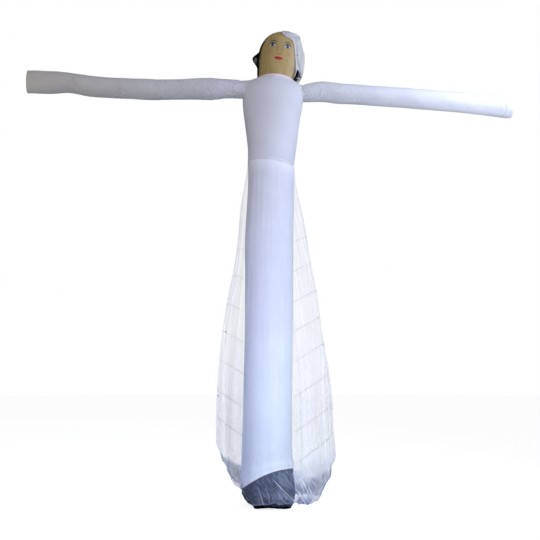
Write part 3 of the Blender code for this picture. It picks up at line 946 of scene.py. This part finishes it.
def print_face(look, x):
    """A calm doll's face, the same on both sides of its middle."""
    side = abs(x)
    oval = partial(look.oval, side, look.v)
    almond = partial(look.almond, side, look.v)
    look.paint(oval(0.135, CHEEKS_UP, 0.060, 0.048, 1.0), (0.62, 0.20, 0.11), 0.40)
    # Nose: its two sides shaded softly, its tip and nostrils
    look.paint(almond(0.027, NOSE_UP + 0.066, 0.011, 0.066, 0.066, 0.0, 0.03), FACE_SHADE, 0.40)
    look.paint(almond(0.0, NOSE_UP, 0.042, 0.005, 0.013, 0.0, 0.006), FACE_SHADE, 0.55)
    look.paint(oval(0.017, NOSE_UP - 0.001, 0.010, 0.0050, 0.5), INK)
    # Eyes: lid shadow, white, iris, glint, lash line, lower lid and brow
    look.paint(almond(EYE_X, EYES_UP + 0.005, 0.062, 0.052, 0.012, 0.08, 0.014), (0.20, 0.12, 0.09), 0.60)
    white = almond(EYE_X, EYES_UP, EYE_HALF, 0.025, 0.018, 0.08, 0.003)
    look.paint(white, (0.80, 0.80, 0.80))
    for radius, soft, colour in IRIS:
        look.paint(oval(EYE_X, EYES_UP + 0.004, radius, radius, soft) * white, colour)
    for at in (EYE_X + 0.007, 0.007 - EYE_X):
        glint = look.oval(x, look.v, at, EYES_UP + 0.012, 0.0055, 0.0055, 0.5)
        look.paint(glint * white, (0.95, 0.95, 0.95))
    outer = almond(EYE_X + 0.003, EYES_UP + 0.002, 0.058, 0.036, 0.0, 0.10, 0.003)
    inner = almond(EYE_X, EYES_UP - 0.002, 0.052, 0.0275, 0.014, 0.08, 0.003)
    look.paint(look.cut(outer, inner), INK)
    low_lid = almond(EYE_X, EYES_UP, EYE_HALF, 0.0, 0.022, 0.08, 0.003)
    look.paint(look.cut(low_lid, white), (0.10, 0.05, 0.03), 0.85)
    brow = almond(EYE_X + 0.003, BROWS_UP, 0.064, 0.026, 0.0, 0.10, 0.004)
    below = almond(EYE_X + 0.008, BROWS_UP - 0.004, 0.071, 0.0175, 0.01, 0.10, 0.003)
    look.paint(look.cut(brow, below), (0.020, 0.012, 0.010), 0.95)
    # Mouth: two-lobed upper lip, fuller lower lip with its shine, the line between, the chin
    look.paint(almond(0.016, MOUTH_UP, 0.046, 0.022, 0.004, -0.05, 0.003), (0.44, 0.030, 0.030))
    look.paint(almond(0.0, MOUTH_UP, 0.055, 0.002, 0.0255, 0.0, 0.003), (0.58, 0.060, 0.055))
    look.paint(oval(0.0, MOUTH_UP - 0.012, 0.024, 0.006, 0.8), (0.85, 0.32, 0.28), 0.5)
    look.paint(almond(0.0, MOUTH_UP, 0.059, 0.0020, 0.0030, 0.0, 0.0012), (0.10, 0.006, 0.010))
    look.paint(almond(0.0, MOUTH_UP - 0.048, 0.040, 0.005, 0.006, 0.0, 0.008), FACE_SHADE, 0.40)


def head_look():
    """Skin-coloured cloth with a face printed on its front."""
    look = Looks("printed_head_cloth")
    x = look.u - tau * HEAD_RADIUS / 2
    cloudy = look.streaks(0.5, 6.0, 3.0)
    look.colour = look.mix(look.step(cloudy, 0.3, 0.7), (0.60, 0.44, 0.185), (0.53, 0.37, 0.140))
    # Darker, duller and yellower towards the crown, and so towards the figure's right as painted shade;
    # paler towards the figure's left as painted light
    crown = look.step(look.v, 5.80, 5.92) * 0.8
    look.paint(look.most(look.step(x, 0.05, -0.30), crown), (0.41, 0.29, 0.075), 0.6)
    look.paint(look.step(x, 0.08, 0.26), (0.72, 0.58, 0.34), 0.7)
    # Warmer streaks low on the head: painted highlights of its wrinkles
    low = look.remap(look.step(look.v, 5.60, 5.42), 0.0, 1.0, 0.25, 0.8)
    warm = look.step(look.streaks(0.22, 26.0, 3.0, 0.6), 0.50, 0.66)
    look.paint(warm * low, (0.66, 0.42, 0.22))
    cool = look.step(look.streaks(0.3, 17.0, 3.0, 0.6), 0.52, 0.70)
    look.paint(cool, (0.40, 0.36, 0.13), 0.45)
    # Painted shade in the creases
    look.paint(look.attribute("crease"), (0.28, 0.19, 0.06), 0.55)
    print_face(look, x)
    look.press(look.streaks(0.3, 12.0, 3.0), 0.004)
    look.press(look.streaks(0.2, 30.0, 3.0) * look.step(look.v, 5.56, 5.36), 0.010)
    look.press(look.net(WEAVE), 0.0002)
    rough = look.roughness(cloudy, 0.52, 0.66)
    return look.finish(roughness=rough, sheen_weight=0.15, specular_ior_level=0.35)


# Pieces


def turns(count):
    """Angles round a body piece, from the middle of its back and round past +X."""
    return tau / 4 + np.linspace(0, tau, count + 1)[None, :]


def body_places(rows, columns, count, past=None):
    ring, length = even_rows(Ring, rows, count, past)
    turn = turns(columns)
    return ring, turn, np.linspace(0, length, count + 1)[:, None], on_rings(ring, turn)


def lower_tube():
    _, turn, up, places = body_places(LOWER_TUBE, 150, 240)
    down = up[-1] - up
    around = round_axis(turn, up, 0.29)
    gather = hills(around, (0.030, 0.030, 1.6), 4) * np.exp(-down / 1.3) * eased(down / 0.35)
    tight = hills(around, (0.020, 0.020, 0.30), 14) * np.exp(-down / 0.16)
    ripple = hills(around, (0.10, 0.10, 0.9), 9)
    slack = hills(around, (0.30, 0.30, 0.8), 2)
    slanted = round_axis(turn, up, 0.29, 1.2)
    lines = creases(slanted, (0.22, 0.22, 0.16), 6) * np.exp(-up / 0.35)
    radial = hills(round_axis(turn, up, 0.29, -1.0), (0.040, 0.040, 0.16), 12) * np.exp(-up / 0.22)
    fold = np.exp(-(((up - 0.075 + 0.02 * np.cos(turn)) / 0.030) ** 2)) * eased(np.cos(turn + 0.9) + 0.6)
    flare = np.exp(-up / 0.030)
    away = eased(down / 0.04) * eased(up / 0.02)
    height = 0.0075 * gather + 0.0015 * tight + 0.0020 * ripple + 0.004 * slack - 0.004 * lines
    height = away * (height + 0.008 * radial + 0.010 * fold) + 0.010 * flare
    mesh = woven("lower_tube", lifted(places, height), (1.86, 3.85), lines * 0.5)
    return cloth("lower_tube", mesh, nylon_look("tube_nylon", TUBE_HEM))


def sleeve_at(rows, reach):
    """Height and radius of a sleeve at a reach, also short of where it starts."""
    line = smooth_curve(rows)
    return (np.interp(reach, line[:, 0], line[:, i]) for i in (1, 2))


def collared(places):
    """The torso drawn out over the start of each sleeve, and how deep each place was inside."""
    inside = np.zeros(places.shape[:-1])
    for side, rows in ((-1, RIGHT_SLEEVE), (1, LEFT_SLEEVE)):
        out = places[..., 0] * side
        middle, radius = sleeve_at(rows, np.maximum(out, SLEEVE_ROOT))
        y, z = places[..., 1], places[..., 2] - middle
        far = np.maximum(np.hypot(y, z), 1e-6)
        wanted = (radius + COLLAR_LIFT) * eased((out - 0.17) / 0.16)
        blend = np.sqrt((far - wanted) ** 2 + COLLAR_SOFT**2)
        grown = (far + wanted + blend) / 2 - COLLAR_SOFT**2 / (2 * (far + COLLAR_SOFT))
        grown = np.where(out > 0.1, np.maximum(grown, far), far)
        depth = np.where(out > 0.28, (radius - far) / (0.4 * radius), 0)
        inside = np.maximum(inside, depth)
        places = places.copy()
        places[..., 0] += side * np.where(out > 0.28, (ARMHOLE - out) * eased(depth), 0)
        places[..., 1] = y / far * grown
        places[..., 2] = middle + z / far * grown
    return places, inside


def torso():
    _, turn, up, places = body_places(TORSO, 240, 130)
    around = round_axis(turn, up, 0.30)
    slack = hills(around, (0.35, 0.35, 0.6), 5)
    gather = hills(around, (0.035, 0.035, 0.5), 8) * np.exp(-up / 0.16)
    places, inside = collared(places)
    near = np.exp(-np.clip(ARMHOLE - np.abs(places[..., 0]), 0, 1) / 0.03) * (places[..., 2] > 5.0)
    crinkle = hills(places, 0.022, 4) * near
    height = 0.003 * slack + 0.0022 * gather + 0.003 * crinkle
    height = height * eased(up / 0.03) * eased((up[-1] - up) / 0.03)
    places = lifted(places, height)
    mesh = woven("torso", places, (2.10, 1.20), 0.5 * near, inside < 1, pucker=near)
    return cloth("torso", mesh, nylon_look("torso_nylon", NECK_BINDING))


def sleeve(node, rows, side, bands, twist):
    columns, count = 110, 380
    turn = side * np.linspace(0, tau, columns + 1)[None, :]
    line = smooth_curve(rows)
    reach = np.linspace(SLEEVE_TOP, SLEEVE_REACH, count + 1)[:, None]
    z, radius, flat = (np.interp(reach, line[:, 0], line[:, i]) for i in (1, 2, 3))
    places = np.stack([side * reach + 0 * turn, radius * flat * np.cos(turn), z + radius * np.sin(turn)], -1)

    around = round_axis(turn, reach, 0.13, twist)
    back = round_axis(turn, reach, 0.13, -twist)
    depth = sum(band.depth * np.exp(-(((reach - band.reach) / band.spread) ** 2)) for band in bands)
    depth = np.minimum(depth, 1.2)
    lines = creases(around, (0.075, 0.075, 0.040), 3 + side) + creases(back, (0.09, 0.09, 0.05), 7 + side)
    puckers = hills(around, (0.05, 0.05, 0.028), 5) + hills(back, (0.06, 0.06, 0.036), 9)
    slack = hills(around, (0.12, 0.12, 0.24), 11 + side)
    fine = hills(around, (0.05, 0.05, 0.09), 13 + side)
    rim = eased((SLEEVE_REACH - reach) / 0.05)
    height = 0.0040 * slack + 0.0012 * fine + depth * (0.0036 * puckers - 0.0018 * lines)
    past = reach - ARMHOLE
    pleat = np.cos(15 * turn + 3 * hills(around, 0.1, side)) * np.exp(-np.maximum(past, 0) / 0.05)
    height = (height + 0.0035 * pleat) * eased(past / 0.02) * rim
    height = height + 0.003 * (1 - rim) * np.cos(3 * turn + side)
    crease = 0.4 * np.clip(lines * depth, 0, 1) * rim
    mesh = woven(node, lifted(places, height), SLEEVE_FLAT, crease, pucker=depth)
    return cloth(node, mesh, SLEEVE_NYLON)


def waist_tape():
    half = TAPE_WIDTH / 2
    over = SEAM + TAPE
    edge = Ring(0, WAIST_X, WAIST_WIDE + over, WAIST_DEEP + over, tilt=WAIST_LEAN)
    rows = [edge._replace(z=WAIST_HEIGHT + rise) for rise in (-half, 0, half)]
    _, turn, up, places = body_places(rows, 160, 6)
    height = 0.0012 * np.sin(np.pi * up / up[-1]) + 0.0010 * hills(round_axis(turn, up, 0.3), 0.05, 3)
    mesh = woven("waist_tape", lifted(places, height), (1.86, TAPE_WIDTH))
    return cloth("waist_tape", mesh, tape_look())


def base_cuff():
    _, turn, up, places = body_places(CUFF, 180, 60)
    around = round_axis(turn, up, 0.28)
    gather = np.cos(20 * turn + 5 * hills(around, 0.12, 2)) * np.exp(-up / 0.09) * eased(up / 0.02)
    slack = hills(around, (0.09, 0.09, 0.16), 6)
    lines = creases(round_axis(turn, up, 0.28, 2.2), (0.10, 0.10, 0.12), 5)
    tucks = creases(round_axis(turn, up, 0.28, -1.4), (0.07, 0.07, 0.10), 9)
    away = eased((up[-1] - up) / 0.03)
    height = 0.0050 * gather + 0.010 * slack - 0.010 * lines * eased(up / 0.06)
    height = away * (height - 0.006 * tucks * eased(up / 0.10))
    places = lifted(places, height)
    forward = eased(-np.sin(turn) - 0.2)
    places[..., 2] += forward * np.exp(-up / 0.12) * (0.026 + 0.008 * np.sin(3 * turn + 0.8))
    places[..., 2] = np.maximum(places[..., 2], 0)
    mesh = woven("base_cuff", places, (1.86, 0.46), np.clip(lines + 0.5 * tucks, 0, 1))
    return cloth("base_cuff", mesh, cuff_look(), CUFF_CLOTH)


def head():
    ring, turn, up, places = body_places(HEAD, 160, 90, PAST_CROWN)
    around = round_axis(turn, up, 0.25)
    gather = np.cos(30 * turn + 3 * hills(around, 0.1, 4)) * np.exp(-up / 0.035)
    slack = hills(around, (0.16, 0.16, 0.20), 7)
    lines = creases(around, (0.12, 0.12, 0.30), 3) * np.exp(-up / 0.12)
    away = eased(up / 0.01) * eased((up[-1] - up) / 0.1)
    height = away * (0.0016 * gather + 0.0016 * slack - 0.002 * lines)
    mesh = woven("head", lifted(places, height), (tau * HEAD_RADIUS, 1.0), lines * 0.5)
    # The face's print is laid out by the height of the ring, not along the cloth
    chart = mesh.uv_layers["cloth"].uv
    for corner in chart:
        corner.vector.y = float(np.interp(corner.vector.y, np.linspace(0, 1, len(ring.z)), ring.z[:, 0]))
    return cloth("head", mesh, head_look())


def over_head(rows, columns, count, tuft=0.0):
    """Places of a cloth lifted off the head, as in the CAD but with smooth rows."""
    line = smooth_curve(rows)
    up = np.linspace(rows[0].up, rows[-1].up, count + 1)
    drape = Drape(*(np.interp(up, line[:, 0], line[:, i])[:, None] for i in range(6)))
    part = np.linspace(0, 1, columns + 1)[None, :]
    turn = drape.start + (drape.end - drape.start) * part
    forward = turn < 0
    edge = np.where(forward, drape.start, drape.end)
    edge_lift = np.where(forward, drape.start_lift, drape.end_lift)
    lift = drape.side_lift + (edge_lift - drape.side_lift) * eased(turn / edge)
    round_tuft = np.exp(-(((turn - TUFT_TURN) / TUFT_SPREAD) ** 2))
    up_tuft = np.clip(1 - np.abs(drape.up - TUFT_UP) / TUFT_HEIGHT, 0, 1)
    lift = lift + tuft * round_tuft * eased(up_tuft)
    upwards = drape.up**3
    head_line = smooth_curve(HEAD, PAST_CROWN)
    shares = np.linspace(0, 1, len(head_line))
    ring = Ring(*(np.interp(drape.up, shares, head_line[:, i]) for i in range(8)))
    ring = ring._replace(
        wide=ring.wide + lift * (1 - upwards),
        deep=ring.deep + lift * (1 - upwards),
        z=ring.z + lift * upwards,
    )
    return on_rings(ring, np.radians(turn)), turn, drape.up


def hair():
    places, turn, up = over_head(HAIR, 120, 60, TUFT_REACH)
    strands = round_axis(np.radians(turn), up * 0.65, 0.27)
    lock = hills(strands, (0.035, 0.035, 0.5), 3)
    fine = hills(strands, (0.012, 0.012, 0.25), 5)
    near_veil = eased((turn - 150) / 12)
    height = 0.004 * lock + 0.0015 * fine + near_veil * 0.005 * fine
    mesh = woven("hair", lifted(places, height, False), (1.05, 0.62), np.clip(-lock, 0, 1))
    return cloth("hair", mesh, hair_look())


def veil():
    places, turn, up = over_head(VEIL, 150, 100)
    around = round_axis(np.radians(turn), up * 0.65, 0.30)
    fold = hills(around, (0.06, 0.06, 0.6), 6)
    lines = creases(round_axis(np.radians(turn), up * 0.65, 0.30, 1.0), (0.09, 0.09, 0.25), 2)
    crumple = hills(around, (0.05, 0.05, 0.10), 8)
    ruffle = hills(places, 0.026, 12) * eased((up - 0.60) / 0.15)
    away = eased((1 - up) / 0.12)
    height = away * (0.006 * fold - 0.005 * lines + 0.002 * crumple + 0.006 * np.abs(ruffle))
    mesh = woven("veil", lifted(places, height, False), (1.25, 0.70), lines)
    return cloth("veil", mesh, veil_look(), 0)


def hem_height(turn):
    at = np.arange(len(OVERSKIRT_HEM) + 1) / len(OVERSKIRT_HEM)
    return np.interp((turn / tau) % 1, at, (*OVERSKIRT_HEM, OVERSKIRT_HEM[0]))


def overskirt():
    columns, count = 480, 140
    flare, length = even_rows(Flare, OVERSKIRT, count)
    turn = turns(columns)
    up = np.linspace(0, length, count + 1)[:, None]
    down = length - up
    uneven = np.cos(SKIRT_FOLDS * turn) + 0.6 * np.cos(SKIRT_CROSS_FOLDS * turn + 1)
    fold = flare.fold * uneven / 1.6
    x = ((flare.right + flare.left) / 2 + fold) * np.cos(turn)
    y = (flare.deep + fold) * np.sin(turn)
    rise = flare.tilt * x + flare.bend * x * x
    hem = (hem_height(turn) + 0.008 * np.cos(SKIRT_FOLDS * turn / 2)) * np.clip(1 - up / 0.16, 0, 1)
    places = np.stack(np.broadcast_arrays((flare.right - flare.left) / 2 + x, y, flare.z + rise + hem), -1)
    around = round_axis(turn, up, 0.55)
    loose = eased(down / 0.8)
    folds = hills(around, (0.050, 0.050, 2.5), 3)
    small = hills(around, (0.028, 0.028, 2.0), 8)
    gather = np.cos(70 * turn + 3 * hills(around, (0.1, 0.1, 2), 4))
    gather = gather * np.exp(-down / 0.4) * eased(down / 0.08)
    crumple = hills(around, (0.10, 0.10, 0.10), 6) + 0.5 * hills(around, (0.045, 0.045, 0.06), 16)
    crumple = crumple * np.exp(-up / 0.16)
    height = loose * (0.013 * folds + 0.004 * small + 0.018 * crumple) + 0.0015 * gather
    height = height + 0.003 * eased(down / 0.03) * np.exp(-down / 0.1)
    flank = creases(around, (0.050, 0.050, 2.5), 3) * loose
    mesh = woven("overskirt", lifted(places, height), (4.0, 4.2), flank)
    piece = cloth("overskirt", mesh, tulle_look(), 0)
    piece.visible_shadow = False  # the net lets nearly all the light through
    return piece


# Studio


CAMERA_LENS = 46.2
CAMERA_SENSOR = 36
CAMERA_AT = (-0.34988, -8.49283, 1.5)
CAMERA_AXES = (  # to its right, up, and back towards the viewer
    (0.99926, -0.03839, 0.0),
    (-0.00594, -0.15460, 0.98796),
    (-0.03793, -0.98723, -0.15471),
)


def front_camera():
    """The camera stands in front of the figure, low down, and looks up at it."""
    camera = placed("camera", bpy.data.cameras.new("camera"))
    camera.data.lens = CAMERA_LENS
    camera.data.sensor_width = CAMERA_SENSOR
    turned = Matrix(CAMERA_AXES).transposed().to_4x4()
    camera.matrix_world = Matrix.Translation(CAMERA_AT) @ turned
    bpy.context.scene.camera = camera


ROOM_LIGHT = 0.20
FLOOR_RADIUS = 60
FLOOR_GLOW = 0.79  # what the camera sees on top of the light that falls on the floor
Softbox = namedtuple("Softbox", "name place aim size spread watts colour")
SOFTBOXES = (
    Softbox("low_left", (3.2, -5.0, 1.5), (0.0, 0.0, 1.0), 2.0, 50, 20, (0.62, 0.77, 1.00)),
    Softbox("left_side", (3.2, -5.0, 3.2), (0.0, 0.0, 3.4), 2.0, 40, 4, (0.45, 0.60, 1.00)),
    Softbox("front", (0.5, -7.0, 3.0), (0.0, 0.0, 3.0), 3.0, 60, 20, (0.81, 0.79, 1.00)),
    Softbox("over_left_arm", (4.5, -1.5, 7.0), (2.5, 0.0, 5.0), 1.5, 90, 38, (0.69, 0.78, 1.00)),
    Softbox("under_left_arm", (3.7, -3.0, 2.2), (2.7, 0.0, 5.0), 1.5, 70, 17, (0.78, 0.82, 1.00)),
    Softbox("left_arm", (5.0, -3.2, 4.2), (2.6, 0.0, 5.0), 1.5, 80, 12, (0.75, 0.81, 1.00)),
    Softbox("low_right", (-5.0, -3.0, 1.0), (0.0, 0.0, 1.5), 2.0, 70, 16, (0.42, 0.53, 1.00)),
    Softbox("right_arm", (-5.0, -4.0, 4.5), (-2.2, 0.0, 5.0), 1.5, 80, 6.5, (1.00, 0.84, 0.51)),
    Softbox("high_front", (0.5, -5.0, 9.0), (0.0, 0.0, 5.0), 3.0, 80, 13, (0.71, 0.75, 1.00)),
)


def softbox(box):
    lamp = bpy.data.lights.new(box.name, "AREA")
    lamp.shape = "DISK"
    lamp.size = box.size
    lamp.energy = box.watts
    lamp.spread = radians(box.spread)
    lamp.color = box.colour
    light = placed(box.name, lamp)
    light.location = box.place
    light.rotation_euler = (Vector(box.aim) - light.location).to_track_quat("-Z", "Y").to_euler()


def room():
    """A white room: it looks white to the camera, and lights the cloth more dimly."""
    world = bpy.data.worlds.new("room")
    bpy.context.scene.world = world
    world.use_nodes = True
    tree = world.node_tree
    walls = tree.nodes["Background"]
    walls.inputs["Color"].default_value = (1, 1, 1, 1)
    seen = tree.nodes.new("ShaderNodeLightPath")
    strength = tree.nodes.new("ShaderNodeMapRange")
    strength.inputs["To Min"].default_value = ROOM_LIGHT
    strength.inputs["To Max"].default_value = 1.0
    tree.links.new(seen.outputs["Is Camera Ray"], strength.inputs["Value"])
    tree.links.new(strength.outputs["Result"], walls.inputs["Strength"])


def floor_look():
    """Pale and dull, and a little brighter to the camera than the light makes it."""
    pale = bpy.data.materials.new("pale_floor")
    pale.use_nodes = True
    tree = pale.node_tree
    shader = tree.nodes["Principled BSDF"]
    shader.inputs["Base Color"].default_value = (0.9, 0.9, 0.9, 1)
    shader.inputs["Roughness"].default_value = 0.9
    shader.inputs["Specular IOR Level"].default_value = 0.0
    shader.inputs["Emission Color"].default_value = (1, 1, 1, 1)
    seen = tree.nodes.new("ShaderNodeLightPath")
    glow = tree.nodes.new("ShaderNodeMath")
    glow.operation = "MULTIPLY"
    glow.inputs[1].default_value = FLOOR_GLOW
    tree.links.new(seen.outputs["Is Camera Ray"], glow.inputs[0])
    tree.links.new(glow.outputs["Value"], shader.inputs["Emission Strength"])
    return pale


def lay_floor():
    ground = bmesh.new()
    bmesh.ops.create_circle(ground, cap_ends=True, segments=96, radius=FLOOR_RADIUS)
    mesh = bpy.data.meshes.new("floor")
    ground.to_mesh(mesh)
    ground.free()
    mesh.materials.append(floor_look())
    floor = placed("floor", mesh)


def studio():
    room()
    for box in SOFTBOXES:
        softbox(box)
    lay_floor()
    bpy.context.scene.view_settings.view_transform = "Standard"


SLEEVE_NYLON = nylon_look("sleeve_nylon")

tube_piece = lower_tube()
torso_piece = torso()
right_piece = sleeve("right_sleeve", RIGHT_SLEEVE, -1, RIGHT_PUCKERS, 2.4)
left_piece = sleeve("left_sleeve", LEFT_SLEEVE, 1, LEFT_PUCKERS, -1.8)
tape_piece = waist_tape()
cuff_piece = base_cuff()
head_piece = head()
hair_piece = hair()
veil_piece = veil()
skirt_piece = overskirt()

studio()
front_camera()
